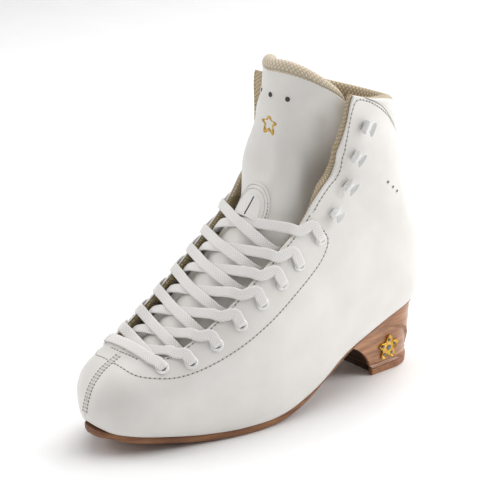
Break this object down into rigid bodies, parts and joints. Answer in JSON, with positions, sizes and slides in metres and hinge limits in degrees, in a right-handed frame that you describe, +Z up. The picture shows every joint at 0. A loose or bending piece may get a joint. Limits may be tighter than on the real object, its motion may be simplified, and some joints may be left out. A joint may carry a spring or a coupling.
{
  "type": "figure skating boot",
  "caption": "Left figure-skating boot in white leather with a padded folding tongue, crossed flat laces, eyelets, speed hooks, a padded collar and a stacked heel; no blade fitted.",
  "frame": {"origin": "middle of the heel lift's bottom face, where the rear plate of a blade bolts on", "axes": "+X to the outer (lateral) side of the foot, -Y to the toe, +Z up; the heel lift and the ball of the outsole stand on z = 0"},
  "size_m": [0.1062, 0.2723, 0.2346],
  "materials": {
    "white_leather": "semi-gloss smooth white leather",
    "lining_mesh": "beige perforated spacer mesh",
    "collar_mesh": "beige padded spacer mesh",
    "foam": "padding behind the tongue leather",
    "lace": "ribbed flat polyester lace",
    "aglet": "clear shrunk plastic tip",
    "white_enamel": "white baked enamel on steel",
    "sole_leather": "brown oiled sole leather",
    "board": "pressed fibre board",
    "steel": "plain spring steel",
    "footbed": "beige covered foam footbed",
    "heel_wood": "lacquered stacked heel, terracotta brown",
    "heel_rubber": "brown heel lift",
    "gold": "polished gold plate"
  },
  "bodies": {
    "boot": {"achilles_collar": "collar_mesh", "aglet_lateral": "aglet", "aglet_medial": "aglet", "eyelet_lateral_1": "white_enamel", "eyelet_lateral_2": "white_enamel", "eyelet_lateral_3": "white_enamel", "eyelet_lateral_4": "white_enamel", "eyelet_lateral_5": "white_enamel", "eyelet_lateral_6": "white_enamel", "eyelet_lateral_7": "white_enamel", "eyelet_lateral_8": "white_enamel", "eyelet_medial_1": "white_enamel", "eyelet_medial_2": "white_enamel", "eyelet_medial_3": "white_enamel", "eyelet_medial_4": "white_enamel", "eyelet_medial_5": "white_enamel", "eyelet_medial_6": "white_enamel", "eyelet_medial_7": "white_enamel", "eyelet_medial_8": "white_enamel", "footbed": "footbed", "forefoot_filler": "board", "heel_badge": "gold", "heel_block": "heel_wood", "heel_lift": "heel_rubber", "hook_lateral_1": "white_enamel", "hook_lateral_2": "white_enamel", "hook_lateral_3": "white_enamel", "hook_lateral_4": "white_enamel", "hook_medial_1": "white_enamel", "hook_medial_2": "white_enamel", "hook_medial_3": "white_enamel", "hook_medial_4": "white_enamel", "insole_board": "board", "lace_from_lateral": "lace", "lace_from_medial": "lace", "lace_hank_lateral": "lace", "lace_hank_medial": "lace", "lining_lateral": "lining_mesh", "lining_medial": "lining_mesh", "outsole": "sole_leather", "quarter_lateral": "white_leather", "quarter_medial": "white_leather", "steel_shank": "steel", "tongue_backing_lower": "lining_mesh", "tongue_face_lower": "white_leather", "tongue_padding_lower": "foam"},
    "tongue_upper": {"tongue_face_upper": "white_leather", "tongue_padding_upper": "foam", "tongue_backing_upper": "lining_mesh", "tongue_top_roll": "collar_mesh", "tongue_patch": "white_leather", "lace_keeper_strap": "lace"}
  },
  "joints": [
    {"name": "tongue_flex", "type": "hinge", "parent": "boot", "child": "tongue_upper", "pos_m": [0, -0.1214, 0.131], "axis": [1, 0, 0], "range_deg": [0, 30]}
  ]
}
